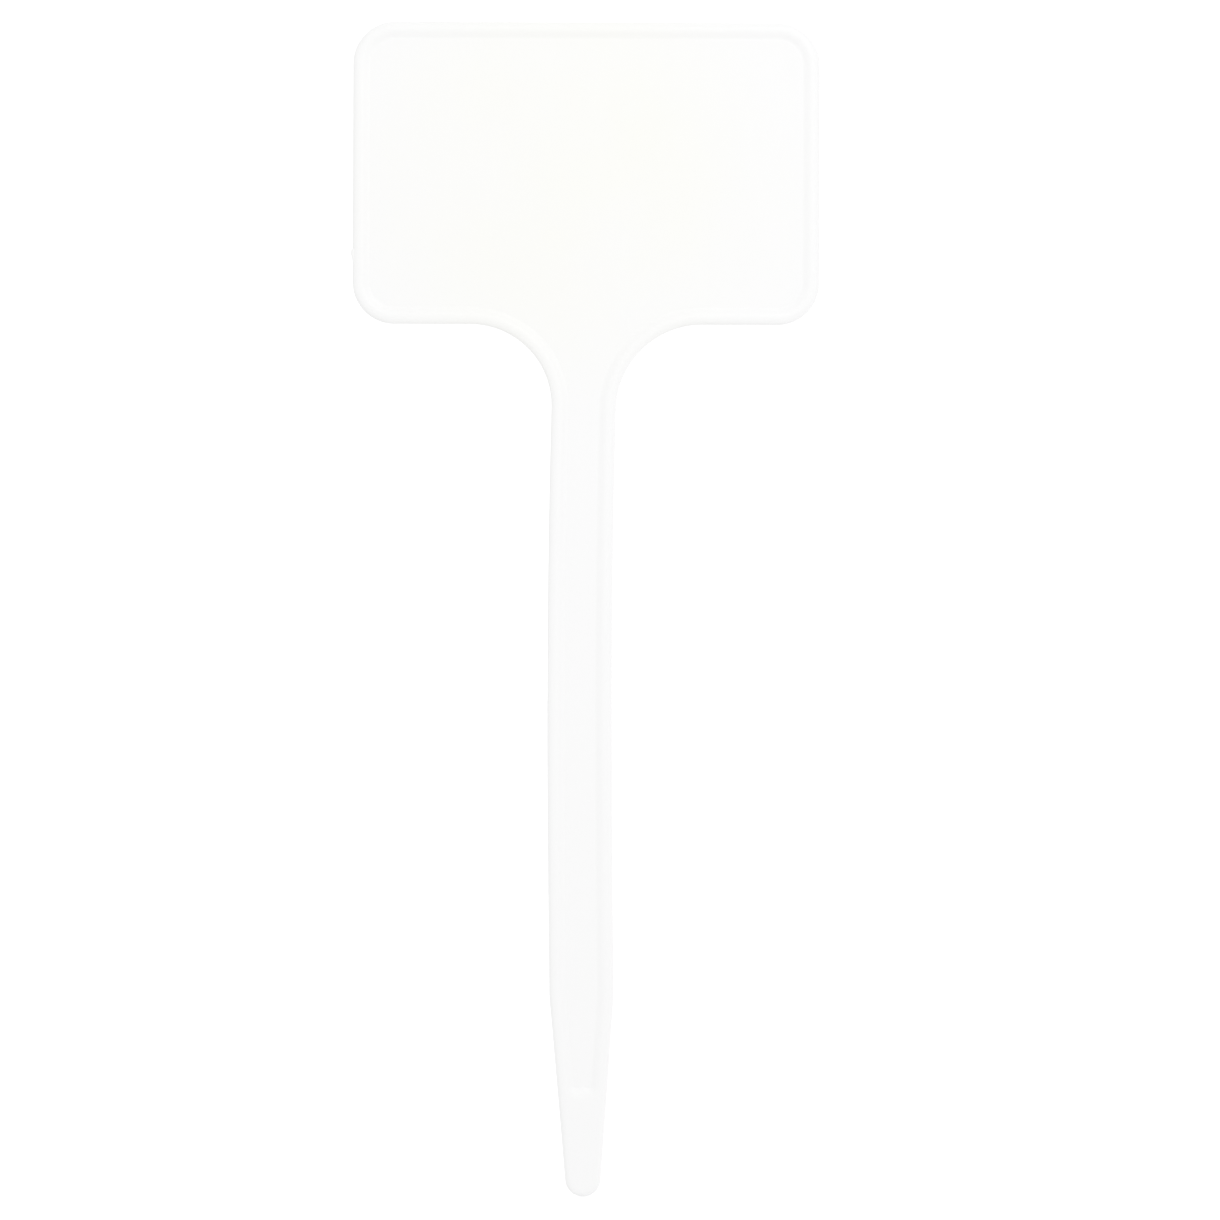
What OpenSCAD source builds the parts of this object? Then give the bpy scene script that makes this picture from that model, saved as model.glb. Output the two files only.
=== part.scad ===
// Plant label stake: a writing panel with a raised rim, flared into a ribbed stem
// that ends in a tapered spike. The real thing is one moulding, and each node is
// one region of it that meets its neighbours face to face. The origin is the tip
// of the spike, +Z is up and the front is towards -Y.

/* [Panel] */
// Width of the panel across its rim
panel_w = 100; // [80:1:140]
// Height of the panel across its rim
panel_h = 64.8; // [50:0.2:90]
// Radius of the panel's outer corners
corner_r = 9; // [5:0.5:14]

/* [Stem] */
// Height from the tip of the spike to the top of the panel
overall_h = 251.8; // [200:0.2:320]
// Width of the stem across its two ribs
stem_w = 13.8; // [12:0.2:20]
// Radius of the flare between the stem and the panel
flare_r = 18; // [8:0.5:24]

/* [Spike] */
// Height of the tapered spike
spike_h = 43; // [35:1:60]
// Radius of the spike's round end
tip_r = 3.8; // [3.2:0.1:5]
// Height above the tip at which the pocket between the ribs rounds off
pocket_z = 24; // [12:0.5:30]

/* [Gate] */
// Height of the gate mark's middle above the panel's lower edge
gate_z = 14.6; // [12:0.1:40]
// Length of the gate mark along the panel's left edge
gate_l = 3; // [2:0.1:5]
// Distance that the gate mark stands out from the edge
gate_d = 0.4; // [0.2:0.1:0.8]

/* [Section] */
// Thickness of the thin wall that is written on
wall_t = 1.2; // [0.8:0.1:2]
// Width of the rim and the ribs, seen from the front
rim_w = 3; // [2:0.1:3.5]
// Thickness of the rim and the ribs, front to back
rim_t = 2.4; // [2.2:0.1:4]
// Radius along the outer edges of the rim, the ribs and the spike
edge_r = 1; // [0.3:0.1:1]

/* [Hidden] */
$fn = 96;
hull_fn = 32;
plastic = "#f7f7f4";

// Heights of the panel's lower edge and of the flare's lower end
panel_z = overall_h - panel_h;
flare_z = panel_z - flare_r;
// Distance from the middle of the stem to the centre of each flare
flare_x = stem_w / 2 + flare_r;
// Distance from the middle of the stem to the inner side of each rib
rib_x = stem_w / 2 - rim_w;

// The spike's right side runs up from its round end to the shoulder, at an angle
// of lean to the X axis, with side_normal pointing out of it
tip_centre = [0, tip_r];
shoulder = [stem_w / 2, spike_h];
lean = angle_of(shoulder - tip_centre) + asin(tip_r / norm(shoulder - tip_centre));
side_normal = [sin(lean), -cos(lean)];
// The same side goes on to a point past the spike's top, which is cut off level,
// and inner_past_top is the point beside it on the inner side of the rib
past_top = shoulder + rim_w * [cos(lean), sin(lean)];
inner_past_top = past_top - rim_w * side_normal;

function angle_of(v) = atan2(v.y, v.x);
function flip(p) = [-p.x, p.y];

// Stands up what is drawn flat, with the drawing's upper side as the front
module upright() {
    color(plastic) rotate([90, 0, 0]) children();
}

// Plate of thickness t, centred on the drawing plane
module plate(t) {
    translate([0, 0, -t / 2]) linear_extrude(t) children();
}

// Section of the rim, from its inner side at x = 0 to its rounded outer edge
module rim_section(width = rim_w) {
    translate([0, -rim_t / 2]) square([width - edge_r, rim_t]);
    translate([0, edge_r - rim_t / 2]) square([width, rim_t - 2 * edge_r]);
    for (side = [-1, 1])
        translate([width - edge_r, side * (rim_t / 2 - edge_r)]) circle(edge_r);
}

// The same section turned over, from its outer edge at x = 0
module turned_section() {
    translate([rim_w, 0]) mirror([1, 0]) rim_section();
}

// Straight rim whose outer edge runs from a to b, with its body to the left
module rim_straight(a, b) {
    translate([a.x, a.y, 0])
        rotate([90, 0, angle_of(b - a) + 90])
        linear_extrude(norm(b - a))
        turned_section();
}

// Quarter of rim round a corner of outer radius corner_r, from the angle start
module rim_corner(centre, start) {
    translate([centre.x, centre.y, 0])
        rotate([0, 0, start])
        rotate_extrude(angle = 90)
        translate([corner_r - rim_w, 0])
        rim_section();
}

// Rectangle with round corners, its lower edge on the X axis
module rounded_rectangle(w, h, r) {
    translate([r - w / 2, 0]) square([w - 2 * r, h]);
    translate([-w / 2, r]) square([w, h - 2 * r]);
    for (x = [-1, 1], y = [r, h - r])
        translate([x * (w / 2 - r), y]) circle(r);
}

// Disc of radius r about p, with the rim's rounded edge
module round_end(p, r) {
    translate([p.x, p.y, 0])
        rotate_extrude($fn = hull_fn)
        rim_section(r);
}

// Thin wall inside the panel's rim
module writing_panel() {
    upright() plate(wall_t)
        translate([0, panel_z + rim_w])
        rounded_rectangle(panel_w - 2 * rim_w, panel_h - 2 * rim_w, corner_r - rim_w);
}

// Trace of the mould's gate on the panel's left edge, rooted in the rim
module gate_mark() {
    plate(wall_t)
        translate([-panel_w / 2 - gate_d, panel_z + gate_z - gate_l / 2])
        square([gate_d + rim_w / 2, gate_l]);
}

// Raised rim round the panel, open at the bottom between the flares
module panel_rim() {
    side = panel_w / 2;
    in = side - corner_r;
    low = panel_z + corner_r;
    high = overall_h - corner_r;
    upright() {
        rim_straight([flare_x, panel_z], [in, panel_z]);
        rim_corner([in, low], -90);
        rim_straight([side, low], [side, high]);
        rim_corner([in, high], 0);
        rim_straight([in, overall_h], [-in, overall_h]);
        rim_corner([-in, high], 90);
        rim_straight([-side, high], [-side, low]);
        rim_corner([-in, low], 180);
        rim_straight([-in, panel_z], [-flare_x, panel_z]);
        gate_mark();
    }
}

// Thin wall between the two flares
module neck() {
    upright() plate(wall_t)
        difference() {
            translate([-flare_x, flare_z]) square([2 * flare_x, flare_r + rim_w]);
            for (side = [-1, 1])
                translate([side * flare_x, flare_z]) circle(flare_r + rim_w);
        }
}

// Thin wall between the ribs of the stem
module stem() {
    upright() plate(wall_t)
        translate([-rib_x, spike_h]) square([2 * rib_x, flare_z - spike_h]);
}

// Rib up the right side of the stem and round its flare to the panel's rim
module right_rib() {
    upright() {
        rim_straight(shoulder, [stem_w / 2, flare_z]);
        translate([flare_x, flare_z, 0])
            rotate([0, 0, 90])
            rotate_extrude(angle = 90)
            translate([flare_r, 0])
            turned_section();
    }
}

// The same rib up the left side
module left_rib() {
    mirror([1, 0, 0]) right_rib();
}

// Outline of the pocket between the spike's ribs, open at the spike's top
module pocket() {
    centre = [0, pocket_z];
    r = tip_r + (pocket_z - tip_r) * cos(lean) - rim_w;
    low = centre + r * side_normal;
    translate(centre) circle(r);
    polygon([low, inner_past_top, flip(inner_past_top), flip(low)]);
}

// Tapered spike with a round end, and a pocket in each face
module spike() {
    upright() difference() {
        hull() {
            round_end(tip_centre, tip_r);
            round_end(inner_past_top, rim_w);
            round_end(flip(inner_past_top), rim_w);
        }
        plate(2 * rim_t) translate([-stem_w, spike_h]) square([2 * stem_w, stem_w]);
        for (face = [-1, 1])
            translate([0, 0, face * (wall_t + rim_t) / 2]) plate(rim_t) pocket();
    }
}

writing_panel();
panel_rim();
neck();
stem();
left_rib();
right_rib();
spike();
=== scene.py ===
"""Looks of a white plant label: a writing panel with a rim, a ribbed stem and a spike.

The real label is one polypropylene moulding, and each node of the frame is one region of
it. Every region is drawn as a closed surface, worked out in millimetres as numpy grids,
and stands for its node. The gate mark stands for the rim's node too, and the ejector
marks for none. All regions share their section and their pattern's coordinates, so that
the moulding shows no seams where they meet.
"""

import logging
import math
from dataclasses import dataclass
from enum import Enum

import bmesh
import bpy
import numpy as np
from mathutils import Matrix, Vector


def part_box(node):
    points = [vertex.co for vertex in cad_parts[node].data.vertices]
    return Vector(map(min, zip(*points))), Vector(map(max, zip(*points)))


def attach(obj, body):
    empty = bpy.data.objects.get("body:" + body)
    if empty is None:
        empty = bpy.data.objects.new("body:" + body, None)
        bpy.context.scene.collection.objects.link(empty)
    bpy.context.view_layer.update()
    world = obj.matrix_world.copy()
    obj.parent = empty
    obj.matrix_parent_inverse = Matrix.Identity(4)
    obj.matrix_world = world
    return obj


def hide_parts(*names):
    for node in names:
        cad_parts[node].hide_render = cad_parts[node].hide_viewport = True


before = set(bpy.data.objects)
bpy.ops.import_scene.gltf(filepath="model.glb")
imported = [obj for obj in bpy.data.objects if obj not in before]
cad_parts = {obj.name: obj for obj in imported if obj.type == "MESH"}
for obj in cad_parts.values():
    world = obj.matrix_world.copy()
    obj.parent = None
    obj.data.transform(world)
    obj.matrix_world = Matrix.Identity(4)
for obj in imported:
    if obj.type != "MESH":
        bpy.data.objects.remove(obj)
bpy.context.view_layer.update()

MM = 0.001
BODY = "root"
# Two faces that meet at more than this angle keep a crisp edge between them
CRISP_ANGLE = math.radians(50)
# Points closer than this, in metres, are one point of a closed surface
WELD = 1e-7
# Least value of a length that something is divided by
TINY = 1e-9
# Numbers of the Mix node's colour sockets, whose names its other sockets share
MIX_FROM = 6
MIX_TO = 7
MIX_RESULT = 2
# Numbers of a maths node's two inputs, which share one name
FIRST = 0
SECOND = 1
WHITE = (1.0, 1.0, 1.0, 1.0)
BLACK = (0.0, 0.0, 0.0, 1.0)

log = logging.getLogger("label")


class Side(Enum):
    """Which side of the label a mirrored region is on, seen from the front."""

    LEFT = -1
    RIGHT = 1


@dataclass(frozen=True)
class LabelSizes:
    """The label's sizes in millimetres, most of them measured on the frame."""

    panel_half: float
    panel_low: float
    panel_top: float
    stem_half: float
    flare_low: float
    flare_r: float
    spike_top: float
    rim_w: float
    rim_half: float
    wall_half: float
    gate_d: float
    gate_z: float = 14.6
    gate_l: float = 3.0
    corner_r: float = 9.0
    tip_r: float = 3.8
    pocket_z: float = 24.0

    @classmethod
    def from_frame(cls) -> "LabelSizes":
        """Measures the frame's nodes.

        Returns:
            The sizes, in which the rim's width is what the panel's box lacks of the whole.
        """
        panel = box_mm("writing_panel")
        rim = box_mm("panel_rim")
        stem = box_mm("stem")
        neck = box_mm("neck")
        rim_w = rim[1, 2] - panel[1, 2]
        stem_half = stem[1, 0] + rim_w
        return cls(
            panel_half=panel[1, 0] + rim_w,
            panel_low=rim[0, 2],
            panel_top=rim[1, 2],
            stem_half=stem_half,
            flare_low=neck[0, 2],
            flare_r=neck[1, 0] - stem_half,
            spike_top=stem[0, 2],
            rim_w=rim_w,
            rim_half=rim[1, 1],
            wall_half=panel[1, 1],
            gate_d=-rim[0, 0] - rim[1, 0],
        )

    @property
    def flare_x(self) -> float:
        """Distance from the label's middle to the centre of each flare."""
        return self.stem_half + self.flare_r


def box_mm(node: str) -> np.ndarray:
    """Lowest and highest corner of a node of the frame, as two rows in millimetres."""
    return np.array(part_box(node)) / MM


def smoothstep(t: np.ndarray) -> np.ndarray:
    """Ease from 0 to 1 without a kink: 3 t squared less 2 t cubed, with t held in 0 to 1."""
    t = np.clip(t, 0, 1)
    return t * t * (3 - 2 * t)


@dataclass(frozen=True)
class BeadSection:
    """Section of the raised rim: a rounded bead that falls softly to the thin wall.

    Distances are measured from the outer edge inwards, heights from the middle of the
    label's thickness to its face.
    """

    top: float
    wall: float
    crest: float = 1.6
    fullness: float = 2.1
    crowding: float = 1.6
    ridge: float = 0.02
    ridge_half: float = 0.06
    fall: float = 2.1
    fall_bias: float = 1.2
    outer_points: int = 20
    inner_points: int = 18

    @property
    def foot(self) -> float:
        """Distance from the outer edge at which the bead has run out into the wall."""
        return self.crest + self.fall

    def outer(self) -> tuple[np.ndarray, np.ndarray]:
        """Outer half of the bead, from the parting line to the crest.

        A quarter of a superellipse: the distance is crest times (1 - cos a to the power
        2/fullness) and the height top times sin a to that power. Even shares of the angle a
        are raised to the power crowding, which draws the points towards the parting line. A
        fine ridge, the mould's parting line, stands out as a bell curve over the height.

        Returns:
            Distances and heights.
        """
        share = np.arange(self.outer_points + 1) / self.outer_points
        angle = np.pi / 2 * share**self.crowding
        power = 2 / self.fullness
        height = self.top * np.sin(angle) ** power
        body = 1 - np.clip(np.cos(angle), 0, 1) ** power
        bell = np.exp(-((height / self.ridge_half) ** 2))
        distance = self.ridge * (1 - bell) + (self.crest - self.ridge) * body
        return distance, height

    def sunk(self, past_crest: np.ndarray) -> np.ndarray:
        """How far the bead has fallen at a distance past its crest.

        The fall eases in and out: (top - wall) times the smoothstep of the share of the
        fall's width, raised to a power so that the steepest place is past the middle.

        Args:
            past_crest: Distances from the crest towards the wall.

        Returns:
            Depths below the crest.
        """
        share = np.clip(past_crest / self.fall, 0, 1) ** self.fall_bias
        return (self.top - self.wall) * smoothstep(share)

    def front(self) -> tuple[np.ndarray, np.ndarray]:
        """Front half of the whole section, from the parting line to the foot.

        Returns:
            Distances and heights.
        """
        outer_distance, outer_height = self.outer()
        past = self.fall * np.arange(1, self.inner_points + 1) / self.inner_points
        distance = np.concatenate([outer_distance, self.crest + past])
        height = np.concatenate([outer_height, self.top - self.sunk(past)])
        return distance, height

    def loop(self) -> tuple[np.ndarray, np.ndarray]:
        """Closed section: the front half, then the back half back to the parting line.

        Returns:
            Distances and heights, with heights below 0 on the back.
        """
        distance, height = self.front()
        return (
            np.concatenate([distance, distance[:0:-1]]),
            np.concatenate([height, -height[:0:-1]]),
        )


@dataclass(frozen=True)
class Stretch:
    """Places along the label's outline and the direction to the inside at each."""

    points: np.ndarray
    inward: np.ndarray

    def joined(self, other: "Stretch") -> "Stretch":
        """Puts another stretch behind this one.

        Args:
            other: The next stretch, which starts where this one ends.

        Returns:
            Both as one, in which the point that they share comes once.
        """
        return Stretch(
            np.concatenate([self.points, other.points[1:]]),
            np.concatenate([self.inward, other.inward[1:]]),
        )

    def mirrored(self) -> "Stretch":
        """The same stretch on the other side, walked the other way."""
        flip = np.array([-1.0, 1.0])
        return Stretch(self.points[::-1] * flip, self.inward[::-1] * flip)


def straight(start: tuple[float, float], end: tuple[float, float], step: float) -> Stretch:
    """Straight edge walked with the label on its left.

    Args:
        start: First point.
        end: Last point.
        step: Longest distance between two points.

    Returns:
        Evenly spaced points, with the walking direction turned a quarter left as inward.
    """
    a, b = np.array(start), np.array(end)
    length = np.linalg.norm(b - a)
    count = max(1, math.ceil(length / step))
    share = np.linspace(0, 1, count + 1)[:, None]
    along = (b - a) / length
    inward = np.array([-along[1], along[0]])
    return Stretch(a + share * (b - a), np.repeat(inward[None], count + 1, axis=0))


def arc(centre: tuple[float, float], radius: float, start: float, end: float,
        step: float) -> Stretch:
    """Round edge: the centre plus radius times the cosine and sine of an even angle.

    Args:
        centre: Centre of the arc.
        radius: Its radius.
        start: Angle of its first point, in degrees.
        end: Angle of its last point. A falling angle makes the edge hollow.
        step: Largest angle between two points, in degrees.

    Returns:
        The points, with inward to the centre on a full edge and away from it on a hollow.
    """
    count = max(1, math.ceil(abs(end - start) / step))
    angle = np.radians(np.linspace(start, end, count + 1))
    outward = np.stack([np.cos(angle), np.sin(angle)], axis=1)
    return Stretch(np.array(centre) + radius * outward, -np.sign(end - start) * outward)


@dataclass(frozen=True)
class Outline:
    """The label's outline, walked from the spike's tip up its right side and round."""

    sizes: LabelSizes
    shoulder_r: float = 12.0
    edge_step: float = 2.0
    arc_step: float = 3.0
    shoulder_step: float = 0.75
    fine_step: float = 0.14

    @property
    def lean(self) -> float:
        """Angle between the spike's side and the label's axis.

        The slant from the round end's centre to the shoulder leans by one angle. The side
        touches the round end and leans less, by the arc sine of tip_r over the slant.

        Returns:
            The angle in radians.
        """
        s = self.sizes
        rise = s.spike_top - s.tip_r
        slant = math.hypot(s.stem_half, rise)
        return math.atan2(s.stem_half, rise) - math.asin(s.tip_r / slant)

    @property
    def shoulder_reach(self) -> float:
        """Distance from the spike's shoulder at which its soft bend begins and ends."""
        return self.shoulder_r * math.tan(self.lean / 2)

    @property
    def joint_z(self) -> float:
        """Height at which the spike's softened shoulder ends and the rib begins."""
        return self.sizes.spike_top + self.shoulder_reach

    def tip(self) -> Stretch:
        """Right half of the spike's round end."""
        s = self.sizes
        return arc((0, s.tip_r), s.tip_r, -90, -math.degrees(self.lean), self.arc_step)

    def side(self) -> Stretch:
        """Right side of the spike, with closer points beside the pocket's round end.

        The closer points run from two rim widths below the middle of the round end to one
        above it.

        Returns:
            The straight edge from the round end to the softened shoulder.
        """
        s = self.sizes
        outward = np.array([math.cos(self.lean), -math.sin(self.lean)])
        along = np.array([math.sin(self.lean), math.cos(self.lean)])
        start = np.array([0, s.tip_r]) + s.tip_r * outward
        end = np.array([s.stem_half, s.spike_top]) - self.shoulder_reach * along
        low = start + (s.pocket_z - 2 * s.rim_w - s.tip_r) * along
        high = start + (s.pocket_z + s.rim_w - s.tip_r) * along
        return (
            straight(start, low, self.edge_step)
            .joined(straight(low, high, self.fine_step))
            .joined(straight(high, end, self.edge_step))
        )

    def shoulder(self) -> Stretch:
        """Soft bend from the spike's side into the rib."""
        centre = (self.sizes.stem_half - self.shoulder_r, self.joint_z)
        return arc(centre, self.shoulder_r, -math.degrees(self.lean), 0, self.shoulder_step)

    def spike(self) -> Stretch:
        """Right half of the spike, from its tip to the rib."""
        return self.tip().joined(self.side()).joined(self.shoulder())

    def rib(self) -> Stretch:
        """Right edge of the stem and its flare, up to the panel.

        Returns:
            A straight edge from the spike's shoulder and a hollow quarter of a circle.
        """
        s = self.sizes
        edge = straight((s.stem_half, self.joint_z), (s.stem_half, s.flare_low), self.edge_step)
        return edge.joined(arc((s.flare_x, s.flare_low), s.flare_r, 180, 90, self.arc_step))

    def panel(self) -> Stretch:
        """The panel's edge, from its right flare round to its left one.

        Returns:
            The right half with its two corners, the top, and the right half mirrored.
        """
        s = self.sizes
        x = s.panel_half - s.corner_r
        low, high = s.panel_low + s.corner_r, s.panel_top - s.corner_r
        right = (
            straight((s.flare_x, s.panel_low), (x, s.panel_low), self.edge_step)
            .joined(arc((x, low), s.corner_r, -90, 0, self.arc_step))
            .joined(straight((s.panel_half, low), (s.panel_half, high), self.edge_step))
            .joined(arc((x, high), s.corner_r, 0, 90, self.arc_step))
        )
        top = straight((x, s.panel_top), (-x, s.panel_top), self.edge_step)
        return right.joined(top).joined(right.mirrored())


def grid_faces(rows: int, columns: int, first: int = 0) -> np.ndarray:
    """Quads of a grid whose point (i, j) is number first + i * columns + j.

    Args:
        rows: Number of rows of points.
        columns: Number of points in a row.
        first: Number of the first point.

    Returns:
        One row of four point numbers for each quad.
    """
    corner = first + (np.arange(rows - 1)[:, None] * columns + np.arange(columns - 1)).ravel()
    return np.stack([corner, corner + 1, corner + columns + 1, corner + columns], axis=1)


def loop_faces(loops: int, around: int) -> list[list[int]]:
    """Faces of a stack of loops whose point (i, j) is number i * around + j.

    Args:
        loops: Number of loops.
        around: Number of points in a loop.

    Returns:
        The point numbers of each quad between two loops, then of the two end faces.
    """
    i = np.arange(loops - 1)[:, None] * around
    j = np.arange(around)
    k = (j + 1) % around
    quads = np.stack([i + j, i + k, i + around + k, i + around + j], axis=-1).reshape(-1, 4)
    return [*quads.tolist(), j.tolist(), (j + (loops - 1) * around).tolist()]


def smooth_piece(name: str, points: np.ndarray, faces: list[list[int]]) -> bpy.types.Object:
    """Makes a smooth piece from points and faces.

    Args:
        name: The piece's name.
        points: Rows of x, y, z in millimetres.
        faces: Point numbers of each face.

    Returns:
        The piece, welded so that its seams and poles close, with its faces turned outwards.
    """
    mesh = bpy.data.meshes.new(name)
    mesh.from_pydata((points * MM).tolist(), [], faces)
    work = bmesh.new()
    work.from_mesh(mesh)
    bmesh.ops.remove_doubles(work, verts=work.verts, dist=WELD)
    bmesh.ops.recalc_face_normals(work, faces=work.faces)
    work.to_mesh(mesh)
    work.free()
    mesh.shade_smooth()
    mesh.set_sharp_from_angle(angle=CRISP_ANGLE)
    piece = bpy.data.objects.new(name, mesh)
    bpy.context.scene.collection.objects.link(piece)
    return piece


def swept(name: str, path: Stretch, section: BeadSection) -> bpy.types.Object:
    """Carries the closed section along a stretch of the outline.

    Each point is the path's point plus the section's distance times the inward direction,
    with the section's height towards the front, which is -Y.

    Args:
        name: The piece's name.
        path: The stretch of outline.
        section: The section that is carried.

    Returns:
        The bead, closed at both ends.
    """
    distance, height = section.loop()
    place = path.points[:, None] + distance[:, None] * path.inward[:, None]
    depth = np.broadcast_to(-height, place.shape[:2])
    points = np.stack([place[..., 0], depth, place[..., 1]], axis=-1).reshape(-1, 3)
    return smooth_piece(name, points, loop_faces(*place.shape[:2]))


@dataclass(frozen=True)
class WallRelief:
    """The gentle unevenness of a thin moulded wall, which is flat where it meets a bead.

    Each row of waves holds a wave's share across the label, its share up the label, and
    its phase.
    """

    wall: float
    depth: float = 0.035
    wave_length: float = 31.0
    waves: tuple[tuple[float, float, float], ...] = (
        (1.0, 0.3, 1.0), (-0.8, 0.6, 2.0), (0.0, 1.3, -1.0),
    )
    edge: float = 5.0

    def heights(self, x: np.ndarray, z: np.ndarray, margin: np.ndarray, face: int) -> np.ndarray:
        """Heights of one face over the middle of the wall.

        The wall's half thickness less a shrinkage, which is depth times the mean of the
        crossing sine waves, brought to 0 to 1, and fades to nothing at the wall's edge.

        Args:
            x: Places across the label.
            z: Places up the label.
            margin: Distance of each place from the nearest bead.
            face: 1 for the front and -1 for the back, whose waves lie elsewhere.

        Returns:
            The heights, all above 0.
        """
        turn = 2 * np.pi / self.wave_length
        sines = [
            np.sin(turn * (across * x + up * z) + phase * face) for across, up, phase in self.waves
        ]
        shrinkage = self.depth * (1 + np.mean(sines, axis=0)) / 2
        return self.wall - shrinkage * smoothstep(margin / self.edge)


def slab(name: str, x: np.ndarray, z: np.ndarray, front: np.ndarray,
         back: np.ndarray) -> bpy.types.Object:
    """Closes two faces over the same grid of places into one thin wall.

    Args:
        name: The piece's name.
        x: Grid of places across the label.
        z: Grid of places up the label.
        front: Heights of the front face over the middle.
        back: Heights of the back face behind the middle.

    Returns:
        The wall, with its edges closed.
    """
    rows, columns = x.shape
    count = rows * columns
    faces = [np.stack([x, side, z], axis=-1).reshape(-1, 3) for side in (-front, back)]
    number = np.arange(count).reshape(rows, columns)
    rim = np.concatenate([number[0, :-1], number[:-1, -1], number[-1, :0:-1], number[:0:-1, 0]])
    after = np.roll(rim, -1)
    edge = np.stack([rim, after, after + count, rim + count], axis=1)
    quads = [grid_faces(rows, columns), grid_faces(rows, columns, count)[:, ::-1], edge]
    return smooth_piece(name, np.concatenate(faces), np.concatenate(quads).tolist())


@dataclass(frozen=True)
class Bow:
    """The slight sideways bow that the long thin stem has in the photograph."""

    height: float
    depth: float = 1.05
    skew: float = 1.35
    stiffening: float = 30.0

    def bend(self, piece: bpy.types.Object) -> None:
        """Shifts the piece's points to the left between the spike's tip and the panel.

        With t the share of the height, the shift is depth times the sine of half a turn
        times t to the power skew, times 1 less t to the power stiffening, so that the stem
        meets the panel squarely.

        Args:
            piece: The piece whose mesh is bent.
        """
        places = np.empty(len(piece.data.vertices) * 3)
        piece.data.vertices.foreach_get("co", places)
        places = places.reshape(-1, 3)
        share = np.clip(places[:, 2] / MM / self.height, 0, 1)
        shift = np.sin(np.pi * share**self.skew) * (1 - share**self.stiffening)
        places[:, 0] -= self.depth * MM * shift
        piece.data.vertices.foreach_set("co", places.ravel())
        piece.data.update()


class Region:
    """One region of the moulding: its node in the frame, its surface and its finish."""

    node: str = ""
    slot: str = ""

    def build(self) -> bpy.types.Object:
        """Makes the region's surface."""
        raise NotImplementedError

    def dress(self, finish: bpy.types.Material, bow: Bow) -> bpy.types.Object:
        """Builds the region, gives it its finish and ties it to the frame.

        Args:
            finish: The material of the whole region.
            bow: The moulding's bow, which bends every region alike.

        Returns:
            The finished piece, standing for its node if it has one.
        """
        piece = self.build()
        bow.bend(piece)
        piece.data.materials.append(finish)
        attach(piece, BODY)
        if self.node:
            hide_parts(self.node)
        return piece


@dataclass
class WritingPanel(Region):
    """The thin wall inside the panel's rim."""

    sizes: LabelSizes
    section: BeadSection
    relief: WallRelief
    step: float = 2.0
    arc_step: float = 3.0
    node = "writing_panel"
    slot = "writing_surface"

    def build(self) -> bpy.types.Object:
        """Rounded rectangle as a grid of columns.

        Columns lie where the rim's corner arcs have their points, and evenly between. Each
        runs from the lower to the upper edge, whose height follows the corner's circle.

        Returns:
            The panel's wall.
        """
        s, foot = self.sizes, self.section.foot
        half, radius = s.panel_half - foot, s.corner_r - foot
        low, high = s.panel_low + foot, s.panel_top - foot
        angle = np.radians(np.arange(90, -self.arc_step / 2, -self.arc_step))
        corner = half - radius + radius * np.cos(angle)
        middle = np.linspace(0, half - radius, math.ceil((half - radius) / self.step) + 1)
        right = np.concatenate([middle, corner[1:]])
        columns = np.concatenate([-right[:0:-1], right])
        across = np.clip(np.abs(columns) - (half - radius), 0, radius)
        lift = radius - np.sqrt(np.clip(radius**2 - across**2, 0, None))
        share = np.linspace(0, 1, math.ceil((high - low) / self.step) + 1)
        x = np.repeat(columns[:, None], len(share), axis=1)
        z = (low + lift)[:, None] + share * (high - low - 2 * lift)[:, None]
        margin = self.margin(x, z, half, low, high)
        front, back = (self.relief.heights(x, z, margin, face) for face in (1, -1))
        return slab("writing_panel_wall", x, z, front, back)

    def margin(self, x: np.ndarray, z: np.ndarray, half: float, low: float,
               high: float) -> np.ndarray:
        """Distance of each place from the nearest side of the panel's wall.

        Args:
            x: Places across the label.
            z: Places up the label.
            half: Half of the wall's width.
            low: Height of the wall's lower edge.
            high: Height of its upper edge.

        Returns:
            The distances, held at 0 or more.
        """
        level = np.minimum(half - np.abs(x), high - z)
        return np.maximum(np.minimum(level, z - low), 0)


@dataclass
class Neck(Region):
    """The thin wall between the two flares."""

    sizes: LabelSizes
    section: BeadSection
    arc_step: float = 3.0
    columns: int = 16
    node = "neck"
    slot = "writing_surface"

    def build(self) -> bpy.types.Object:
        """Rows between two hollow arcs.

        A row at angle a of the flare lies at flare_low plus radius times sin a, and its
        half width is flare_x less radius times cos a.

        Returns:
            The neck's wall.
        """
        s = self.sizes
        radius = s.flare_r + self.section.foot
        angle = np.radians(np.arange(0, 90 + self.arc_step / 2, self.arc_step))
        half = s.flare_x - radius * np.cos(angle)
        share = np.linspace(-1, 1, self.columns + 1)
        x = half[:, None] * share
        z = np.repeat((s.flare_low + radius * np.sin(angle))[:, None], len(share), axis=1)
        flat = np.full_like(x, s.wall_half)
        return slab("neck_wall", x, z, flat, flat)


@dataclass
class Stem(Region):
    """The thin wall between the stem's ribs."""

    sizes: LabelSizes
    section: BeadSection
    outline: Outline
    step: float = 2.0
    columns: int = 8
    node = "stem"
    slot = "writing_surface"

    def build(self) -> bpy.types.Object:
        """Plain rectangle from the spike's shoulder to the flares.

        Returns:
            The stem's wall.
        """
        s = self.sizes
        half = s.stem_half - self.section.foot
        rows = math.ceil((s.flare_low - self.outline.joint_z) / self.step) + 1
        up = np.linspace(self.outline.joint_z, s.flare_low, rows)
        x, z = np.meshgrid(np.linspace(-half, half, self.columns + 1), up)
        flat = np.full_like(x, s.wall_half)
        return slab("stem_wall", x, z, flat, flat)


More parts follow.
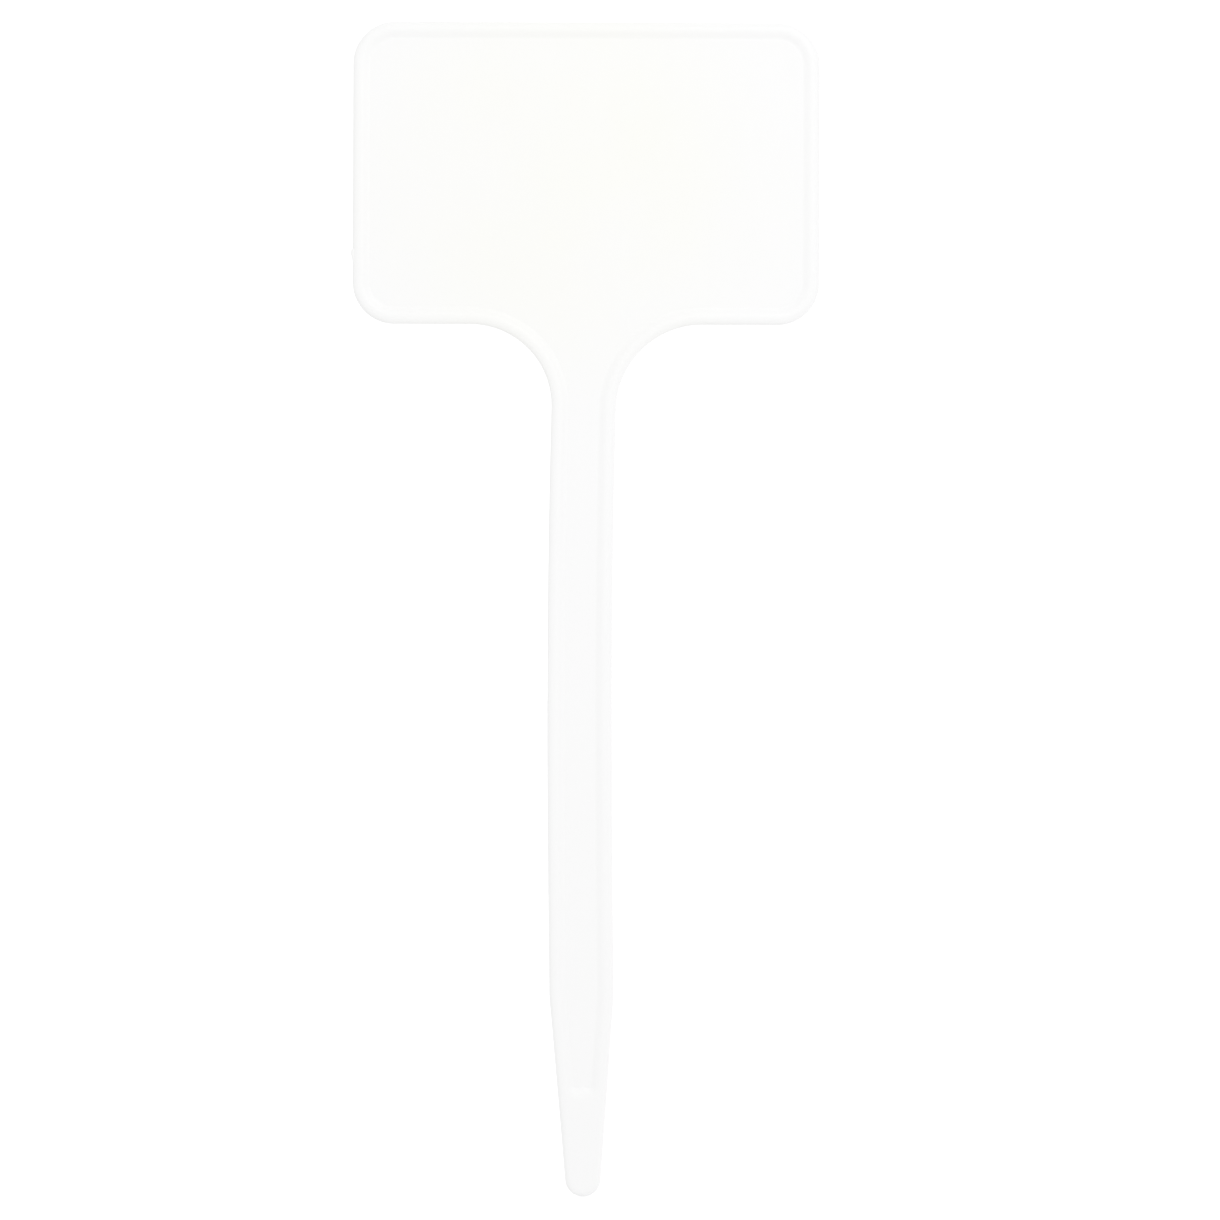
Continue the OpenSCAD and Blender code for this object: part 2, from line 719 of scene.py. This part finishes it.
@dataclass
class PanelRim(Region):
    """The bead round the panel."""

    section: BeadSection
    outline: Outline
    node = "panel_rim"
    slot = "satin_moulding"

    def build(self) -> bpy.types.Object:
        """The bead's section carried round the panel."""
        return swept("panel_bead", self.outline.panel(), self.section)


@dataclass
class GateMark(Region):
    """Stub on the panel's left edge, where the moulding was broken off its runner."""

    sizes: LabelSizes
    length_steps: int = 24
    around_steps: int = 24
    root: float = 0.5
    half_depth: float = 0.8
    squareness: float = 0.75
    lateness: float = 2.2
    bluntness: float = 0.6
    node = "panel_rim"
    slot = "satin_moulding"

    def build(self) -> bpy.types.Object:
        """Flattened loops stacked up the panel's edge, all rooted in the bead.

        At the share t of its length, the stub stands out by gate_d times a sine to the
        power bluntness, and the sine's angle is half a turn times t to the power lateness:
        it swells slowly and ends abruptly at its top. A loop is a superellipse: the cosine
        and sine of the angle round the stub, each to the power squareness.

        Returns:
            The stub.
        """
        s = self.sizes
        share = np.linspace(0, 1, self.length_steps + 1)
        swell = np.clip(np.sin(np.pi * share**self.lateness), 0, None)
        proud = s.gate_d * swell**self.bluntness
        angle = np.linspace(0, 2 * np.pi, self.around_steps, endpoint=False)
        c, d = np.cos(angle), np.sin(angle)
        outward = np.sign(c) * np.abs(c) ** self.squareness
        reach = np.where(outward > 0, (proud + self.root)[:, None], self.root)
        x = -s.panel_half + self.root - outward * reach
        y = np.broadcast_to(self.half_depth * np.sign(d) * np.abs(d) ** self.squareness, x.shape)
        low = s.panel_low + s.gate_z - s.gate_l / 2
        z = np.broadcast_to((low + s.gate_l * share)[:, None], x.shape)
        points = np.stack([x, y, z], axis=-1).reshape(-1, 3)
        return smooth_piece("gate_mark", points, loop_faces(*x.shape))


@dataclass
class EjectorMarks(Region):
    """Faint round prints of the ejector pins on the back.

    There are four in the panel's corners, one on the neck and three down the stem.
    """

    sizes: LabelSizes
    pin_r: float = 2.5
    radius_shares: tuple[float, ...] = (0, 0.5, 0.88, 0.92, 0.96, 1, 1.01, 1.01, 0)
    pad: float = 0.03
    lip: float = 0.05
    sunk: float = 0.2
    around_steps: int = 48
    corner_inset: float = 14.0
    stem_share: tuple[float, ...] = (0.15, 0.5, 0.85)
    slot = "writing_surface"

    def places(self) -> np.ndarray:
        """Finds the middles of the marks.

        Returns:
            Rows of x and z.
        """
        s = self.sizes
        x = s.panel_half - self.corner_inset
        heights = s.panel_low + self.corner_inset, s.panel_top - self.corner_inset
        panel = [(side * x, z) for side in (-1, 1) for z in heights]
        span = s.flare_low - s.spike_top
        stem = [(0.0, s.spike_top + share * span) for share in self.stem_share]
        return np.array([*panel, (0.0, s.panel_low - self.pin_r), *stem])

    def build(self) -> bpy.types.Object:
        """A profile turned about each place: a flat pad inside a fine raised lip.

        The profile runs from the axis over the pad, up and over the lip, down the side
        into the wall, and back to the axis. Its distances from the axis are the pin's
        radius times radius_shares, and a point of it is turned by an even angle.

        Returns:
            All the marks as one piece.
        """
        wall = self.sizes.wall_half
        radius = self.pin_r * np.array(self.radius_shares)
        rise = np.array([self.pad, self.pad, self.pad, self.lip, self.lip, self.pad, 0,
                         -self.sunk, -self.sunk])
        angle = np.linspace(0, 2 * np.pi, self.around_steps + 1)
        spots = self.places()
        x = spots[:, 0, None, None] + radius[:, None] * np.cos(angle)
        z = spots[:, 1, None, None] + radius[:, None] * np.sin(angle)
        y = np.broadcast_to(wall + rise[:, None], x.shape)
        points = np.stack([x, y, z], axis=-1).reshape(-1, 3)
        one = grid_faces(len(radius), self.around_steps + 1)
        size = len(radius) * (self.around_steps + 1)
        faces = (one + size * np.arange(len(spots))[:, None, None]).reshape(-1, 4)
        return smooth_piece("ejector_marks", points, faces.tolist())


@dataclass
class Rib(Region):
    """The bead up one side of the stem and round its flare."""

    section: BeadSection
    outline: Outline
    side: Side
    slot = "satin_moulding"

    def __post_init__(self) -> None:
        """Names the node after the rib's side."""
        self.node = f"{self.side.name.lower()}_rib"

    def build(self) -> bpy.types.Object:
        """The bead's section carried up the stem's right edge, or down its mirror image."""
        path = self.outline.rib()
        if self.side is Side.LEFT:
            path = path.mirrored()
        return swept(f"{self.node}_bead", path, self.section)


@dataclass
class Spike(Region):
    """The tapered spike, with a round end and a pocket in each face."""

    sizes: LabelSizes
    section: BeadSection
    outline: Outline
    inner_steps: int = 16
    end_ease: float = 0.45
    node = "spike"
    slot = "satin_moulding"

    def build(self) -> bpy.types.Object:
        """Grid from the outline to the spike's axis, on both faces.

        A row starts on the outline and runs inwards at a right angle to it. Its first
        points lie at the section's own distances, and the rest evenly up to the axis. On
        the round end all rows meet in its centre.

        Returns:
            The spike.
        """
        right = self.outline.spike()
        reach = right.points[:, 0] / np.maximum(-right.inward[:, 0], TINY)
        reach = np.where(right.points[:, 1] < self.sizes.tip_r, self.sizes.tip_r, reach)
        both = right.mirrored().joined(right)
        reach = np.concatenate([reach[::-1], reach[1:]])
        section_distance, section_height = self.section.front()
        rest = np.linspace(0, 1, self.inner_steps + 1)[1:]
        distance = np.concatenate([
            np.minimum(section_distance, reach[:, None]),
            self.section.foot + rest * (reach - self.section.foot)[:, None],
        ], axis=1)
        place = both.points[:, None] + distance[..., None] * both.inward[:, None]
        outer = np.concatenate([
            np.where(section_distance < self.section.crest, section_height, self.section.top),
            np.full(self.inner_steps, self.section.top),
        ])
        height = outer - self.section.sunk(self.past_crest(place, distance))
        rows, columns = height.shape
        faces = [
            np.stack([place[..., 0], side, place[..., 1]], axis=-1).reshape(-1, 3)
            for side in (-height, height)
        ]
        count = rows * columns
        number = np.arange(count).reshape(rows, columns)
        front_edge = np.concatenate([number[0], number[-1, ::-1]])
        cap = np.concatenate([front_edge, front_edge[::-1] + count])
        quads = np.concatenate([grid_faces(rows, columns), grid_faces(rows, columns, count)])
        return smooth_piece("spike_body", np.concatenate(faces), quads.tolist() + [cap.tolist()])

    def past_crest(self, place: np.ndarray, distance: np.ndarray) -> np.ndarray:
        """Distance past the crest that leads down into the pocket.

        Beside the pocket it is the distance from the outline less the crest's. Below the
        middle of the pocket's round end, it is measured from that middle instead, and
        shrinks by up to the share end_ease straight below it, so that the floor rises
        more gently there than at the sides.

        Args:
            place: Points of the grid, as x and z.
            distance: Their distances from the outline.

        Returns:
            Distances, below 0 outside the crest.
        """
        s, lean = self.sizes, self.outline.lean
        away = np.stack([np.abs(place[..., 0]), place[..., 1] - s.pocket_z], axis=-1)
        along = away @ np.array([math.sin(lean), math.cos(lean)])
        middle_reach = s.tip_r + (s.pocket_z - s.tip_r) * math.sin(lean)
        radius = np.maximum(np.linalg.norm(away, axis=-1), TINY)
        gentler = 1 - self.end_ease * smoothstep(-along / radius)
        round_end = (middle_reach - radius - self.section.crest) * gentler
        return np.where(along >= 0, distance - self.section.crest, round_end)


@dataclass(frozen=True)
class MouldedPolypropylene:
    """White polypropylene as it leaves an injection mould.

    It is a milky, slightly waxy white with a soft, low gloss, neutral in the stem and a
    touch warmer in the middle of the panel. The mould's face sets how fine its grain is
    and how wide its highlights spread.
    """

    name: str
    gloss_rough: float
    dull_rough: float
    grain_mm: float
    grain_depth_mm: float
    grain_detail: float = 2.0
    grain_fineness: float = 0.6
    neutral: str = "#F8F8F8"
    warm: str = "#F8F8F2"
    warm_centre_mm: tuple[float, float, float] = (-4.0, 0.0, 219.4)
    warm_core_mm: float = 18.0
    warm_reach_mm: float = 58.0
    cloud_mm: float = 26.0
    cloud_detail: float = 3.0
    streak_mm: float = 3.25
    streak_detail: float = 4.0
    streak_squash: tuple[float, float, float] = (1.0, 1.0, 0.2)
    streak_range: tuple[float, float] = (0.3, 0.7)
    ior: float = 1.49

    def build(self) -> bpy.types.Material:
        """Makes the material.

        Returns:
            A material whose clouds, gloss and grain lie in object coordinates, so that
            they run on from region to region.
        """
        material = bpy.data.materials.new(self.name)
        material.use_nodes = True
        tree = material.node_tree
        shader = tree.nodes["Principled BSDF"]
        shader.inputs["IOR"].default_value = self.ior
        place = add_node(tree, "ShaderNodeTexCoord").outputs["Object"]
        tree.links.new(self.tint(tree, place), shader.inputs["Base Color"])
        tree.links.new(self.roughness(tree, place), shader.inputs["Roughness"])
        tree.links.new(self.grain(tree, place), shader.inputs["Normal"])
        return material

    def tint(self, tree: bpy.types.NodeTree, place: bpy.types.NodeSocket) -> bpy.types.NodeSocket:
        """Neutral white that turns warmer in soft clouds round the panel's middle.

        Args:
            tree: The material's tree.
            place: Output socket of the object coordinates.

        Returns:
            Output socket of the colour.
        """
        clouds = add_node(tree, "ShaderNodeTexNoise", {"Vector": place},
                          {"Scale": 1 / (self.cloud_mm * MM), "Detail": self.cloud_detail})
        centred = add_node(tree, "ShaderNodeMapping", {"Vector": place},
                           {"Location": tuple(part * MM for part in self.warm_centre_mm),
                            "Scale": (self.warm_reach_mm * MM,) * 3}, vector_type="TEXTURE")
        nearness = add_node(tree, "ShaderNodeTexGradient", {"Vector": centred.outputs["Vector"]},
                            gradient_type="SPHERICAL")
        middle = add_node(tree, "ShaderNodeMapRange", {"Value": nearness.outputs["Fac"]},
                          {"From Max": 1 - self.warm_core_mm / self.warm_reach_mm},
                          interpolation_type="SMOOTHSTEP")
        warmth = add_node(tree, "ShaderNodeMath",
                          {FIRST: middle.outputs["Result"], SECOND: clouds.outputs["Fac"]},
                          operation="MULTIPLY")
        mix = add_node(tree, "ShaderNodeMix", {"Factor": warmth.outputs["Value"]},
                       {MIX_FROM: srgb(self.neutral), MIX_TO: srgb(self.warm)}, data_type="RGBA")
        return mix.outputs[MIX_RESULT]

    def roughness(self, tree: bpy.types.NodeTree,
                  place: bpy.types.NodeSocket) -> bpy.types.NodeSocket:
        """Uneven gloss, in fine streaks along the label, the way the plastic flowed.

        Args:
            tree: The material's tree.
            place: Output socket of the object coordinates.

        Returns:
            Output socket of the roughness.
        """
        flow = add_node(tree, "ShaderNodeMapping", {"Vector": place}, {"Scale": self.streak_squash})
        streaks = add_node(tree, "ShaderNodeTexNoise", {"Vector": flow.outputs["Vector"]},
                           {"Scale": 1 / (self.streak_mm * MM), "Detail": self.streak_detail})
        low, high = self.streak_range
        rough = add_node(tree, "ShaderNodeMapRange", {"Value": streaks.outputs["Fac"]},
                         {"From Min": low, "From Max": high, "To Min": self.gloss_rough,
                          "To Max": self.dull_rough})
        return rough.outputs["Result"]

    def grain(self, tree: bpy.types.NodeTree, place: bpy.types.NodeSocket) -> bpy.types.NodeSocket:
        """Fine grain that the mould's face leaves, as bump.

        Args:
            tree: The material's tree.
            place: Output socket of the object coordinates.

        Returns:
            Output socket of the normal.
        """
        grain = add_node(tree, "ShaderNodeTexNoise", {"Vector": place},
                         {"Scale": 1 / (self.grain_mm * MM), "Detail": self.grain_detail,
                          "Roughness": self.grain_fineness})
        bump = add_node(tree, "ShaderNodeBump", {"Height": grain.outputs["Fac"]},
                        {"Distance": self.grain_depth_mm * MM})
        return bump.outputs["Normal"]


def srgb(code: str) -> tuple[float, float, float, float]:
    """Turns an sRGB hex colour into linear red, green, blue and a full alpha.

    Args:
        code: The colour, such as "#F8F8F8".

    Returns:
        The linear channels, by the sRGB standard's own curve and numbers.
    """
    channels = [int(code[i:i + 2], 16) / 255 for i in (1, 3, 5)]
    linear = [c / 12.92 if c <= 0.04045 else ((c + 0.055) / 1.055) ** 2.4 for c in channels]
    return (*linear, 1.0)


def add_node(tree: bpy.types.NodeTree, kind: str, links: dict | None = None,
             values: dict | None = None, **settings: object) -> bpy.types.Node:
    """Adds one node with its settings and links.

    Args:
        tree: The tree that gets the node.
        kind: Blender's name for the kind of node.
        links: Output sockets for its inputs, by input name or number.
        values: Plain values for its inputs, by input name or number.
        settings: The node's own properties.

    Returns:
        The new node.
    """
    node = tree.nodes.new(kind)
    for name, value in settings.items():
        setattr(node, name, value)
    for key, value in (values or {}).items():
        node.inputs[key].default_value = value
    for key, socket in (links or {}).items():
        tree.links.new(socket, node.inputs[key])
    return node


# Spark-eroded mould face: a dense, dull grain that takes pencil and ink, and no highlight.
# The real grain is about 0.1 mm across and is drawn at 0.6 mm to show in the picture.
ERODED_POLYPROPYLENE = MouldedPolypropylene(
    name="polypropylene_eroded_mould_face",
    gloss_rough=0.5,
    dull_rough=0.62,
    grain_mm=0.6,
    grain_depth_mm=0.012,
)
# Stoned mould face: a satin sheen along the beads, with hardly any grain. What there is
# is about 0.2 mm across and is drawn at 1 mm to show in the picture.
SATIN_POLYPROPYLENE = MouldedPolypropylene(
    name="polypropylene_satin_mould_face",
    gloss_rough=0.42,
    dull_rough=0.5,
    grain_mm=1.0,
    grain_depth_mm=0.008,
)


@dataclass(frozen=True)
class StageFinish:
    """Plain finish of the studio, which also gives off a little white light of its own."""

    name: str
    colour: tuple[float, float, float, float]
    rough: float
    glow: float

    def build(self) -> bpy.types.Material:
        """Makes the material.

        Returns:
            A material whose every value is uniform.
        """
        material = bpy.data.materials.new(self.name)
        material.use_nodes = True
        shader = material.node_tree.nodes["Principled BSDF"]
        shader.inputs["Base Color"].default_value = self.colour
        shader.inputs["Roughness"].default_value = self.rough
        shader.inputs["Emission Color"].default_value = WHITE
        shader.inputs["Emission Strength"].default_value = self.glow
        return material


# Matt paper under the label, lit to plain white, so that no horizon shows
PAPER = StageFinish("white_paper_sweep", srgb("#F2F2F2"), rough=0.9, glow=0.25)
# Surround that is all glow and no shading, and shows as plain white behind the label
SURROUND = StageFinish("white_surround", BLACK, rough=0.5, glow=1.1)


@dataclass
class Studio:
    """White studio: fill and three soft lights, the floor and surround, and the camera.

    Places and sizes are in metres where the name doesn't say millimetres, and the lights'
    powers in watts.
    """

    fill: float = 0.919
    shade_place: tuple[float, float, float] = (-0.75, 0.6, -0.3)
    shade_from: float = 0.45
    shade_depth: float = 0.06
    key_power: float = 0.98
    key_place: tuple[float, float, float] = (0.2, -0.77, 0.5)
    back_power: float = 1.0
    back_place: tuple[float, float, float] = (0.3, 0.5, 0.75)
    edge_power: float = 0.45
    edge_place: tuple[float, float, float] = (0.75, 0.35, -0.3)
    light_size: float = 0.45
    aim: tuple[float, float, float] = (0.0, 0.0, 0.22)
    reach: float = 4.0
    floor_points: int = 64
    dome_rows: int = 17
    dome_columns: int = 65
    lens_mm: float = 100.0
    sensor_mm: float = 36.0
    frame_mm: float = 261.6
    centre_mm: tuple[float, float] = (5.4, 125.8)
    roll_deg: float = 0.19

    def build(self) -> None:
        """Sets up the whole studio."""
        self.light()
        self.floor()
        self.surround()
        self.camera()
        bpy.context.scene.view_settings.view_transform = "Standard"

    def light(self) -> None:
        """Sets up the fill from all round and the three soft lights.

        The key light is nearly frontal. The back light rakes over the back, and the edge
        light lightens the edges from behind at the lower right. The fill falls off
        smoothly towards one slightly darker corner of the studio, behind the label at the
        lower left, which draws the label's edges on that side.
        """
        world = bpy.data.worlds.new("soft_fill")
        world.use_nodes = True
        tree = world.node_tree
        background = tree.nodes["Background"]
        background.inputs["Color"].default_value = WHITE
        bpy.context.scene.world = world
        way = add_node(tree, "ShaderNodeTexCoord").outputs["Generated"]
        corner = tuple(Vector(self.shade_place).normalized())
        towards = add_node(tree, "ShaderNodeVectorMath", {FIRST: way}, {SECOND: corner},
                           operation="DOT_PRODUCT")
        fill = add_node(tree, "ShaderNodeMapRange", {"Value": towards.outputs["Value"]},
                        {"From Min": self.shade_from, "From Max": 1.0, "To Min": self.fill,
                         "To Max": self.fill * (1 - self.shade_depth)},
                        interpolation_type="SMOOTHSTEP")
        tree.links.new(fill.outputs["Result"], background.inputs["Strength"])
        self.softbox("key", self.key_place, self.key_power)
        self.softbox("back_light", self.back_place, self.back_power)
        self.softbox("edge_light", self.edge_place, self.edge_power)

    def softbox(self, name: str, place: tuple[float, float, float], power: float) -> None:
        """Round soft light, aimed at the panel.

        Args:
            name: The light's name.
            place: Where it stands, in metres.
            power: What it gives, in watts.
        """
        data = bpy.data.lights.new(name, "AREA")
        data.shape = "DISK"
        data.size = self.light_size
        data.energy = power
        light = bpy.data.objects.new(name, data)
        light.location = place
        way = Vector(self.aim) - light.location
        light.rotation_euler = way.to_track_quat("-Z", "Y").to_euler()
        bpy.context.scene.collection.objects.link(light)

    def floor(self) -> None:
        """Round paper floor at the height of the spike's tip: a flat circle of radius reach."""
        angle = np.linspace(0, 2 * np.pi, self.floor_points, endpoint=False)
        points = self.reach * np.stack([np.cos(angle), np.sin(angle), 0 * angle], axis=1) / MM
        paper = smooth_piece("floor", points, [list(range(self.floor_points))])
        self.show_to_camera_only(paper, PAPER.build())

    def surround(self) -> None:
        """Dome over the floor, which shows as plain white behind the label.

        Half a sphere of radius reach: a point is the cosine and sine of the turn round the
        label, both times the cosine of the rise over the floor, and the sine of the rise.
        """
        around, rise = np.meshgrid(np.linspace(0, 2 * np.pi, self.dome_columns),
                                   np.linspace(0, np.pi / 2, self.dome_rows))
        points = self.reach / MM * np.stack([
            np.cos(around) * np.cos(rise), np.sin(around) * np.cos(rise), np.sin(rise),
        ], axis=-1)
        faces = grid_faces(self.dome_rows, self.dome_columns).tolist()
        dome = smooth_piece("surround", points.reshape(-1, 3), faces)
        self.show_to_camera_only(dome, SURROUND.build())

    def show_to_camera_only(self, stage: bpy.types.Object, finish: bpy.types.Material) -> None:
        """Gives a floor or surround piece its finish and hides it from the label's own light.

        Args:
            stage: The floor or the surround.
            finish: Its material.
        """
        stage.data.materials.append(finish)
        stage.visible_diffuse = False
        stage.visible_glossy = False
        stage.visible_shadow = False

    def camera(self) -> None:
        """Long lens, level and square to the label, at the picture's framing and lean."""
        data = bpy.data.cameras.new("camera")
        data.lens = self.lens_mm
        data.sensor_width = self.sensor_mm
        distance = self.lens_mm * self.frame_mm / self.sensor_mm
        camera = bpy.data.objects.new("camera", data)
        x, z = (value * MM for value in self.centre_mm)
        level = Matrix.Rotation(math.pi / 2, 4, "X")
        roll = Matrix.Rotation(math.radians(self.roll_deg), 4, "Z")
        camera.matrix_world = Matrix.Translation((x, -distance * MM, z)) @ level @ roll
        bpy.context.scene.collection.objects.link(camera)
        bpy.context.scene.camera = camera


def regions(sizes: LabelSizes) -> list[Region]:
    """Lists the moulding's regions from the panel down, and then the ejector marks.

    Args:
        sizes: The label's sizes.

    Returns:
        One entry for each node of the frame, one more for the gate mark on the panel's
        rim, and one for the ejector marks, which stand for no node.
    """
    section = BeadSection(sizes.rim_half, sizes.wall_half)
    outline = Outline(sizes)
    return [
        WritingPanel(sizes, section, WallRelief(sizes.wall_half)),
        PanelRim(section, outline),
        GateMark(sizes),
        Neck(sizes, section),
        Stem(sizes, section, outline),
        Rib(section, outline, Side.LEFT),
        Rib(section, outline, Side.RIGHT),
        Spike(sizes, section, outline),
        EjectorMarks(sizes),
    ]


def main() -> None:
    """Builds the label region by region, logging each piece, then the studio."""
    logging.basicConfig(level=logging.INFO, format="%(name)s: %(message)s")
    finishes = {
        "writing_surface": ERODED_POLYPROPYLENE.build(),
        "satin_moulding": SATIN_POLYPROPYLENE.build(),
    }
    sizes = LabelSizes.from_frame()
    bow = Bow(sizes.panel_low)
    for region in regions(sizes):
        piece = region.dress(finishes[region.slot], bow)
        log.info("%s stands for %s, %d faces", piece.name, region.node or "no node",
                 len(piece.data.polygons))
    Studio().build()


if __name__ == "__main__":
    main()
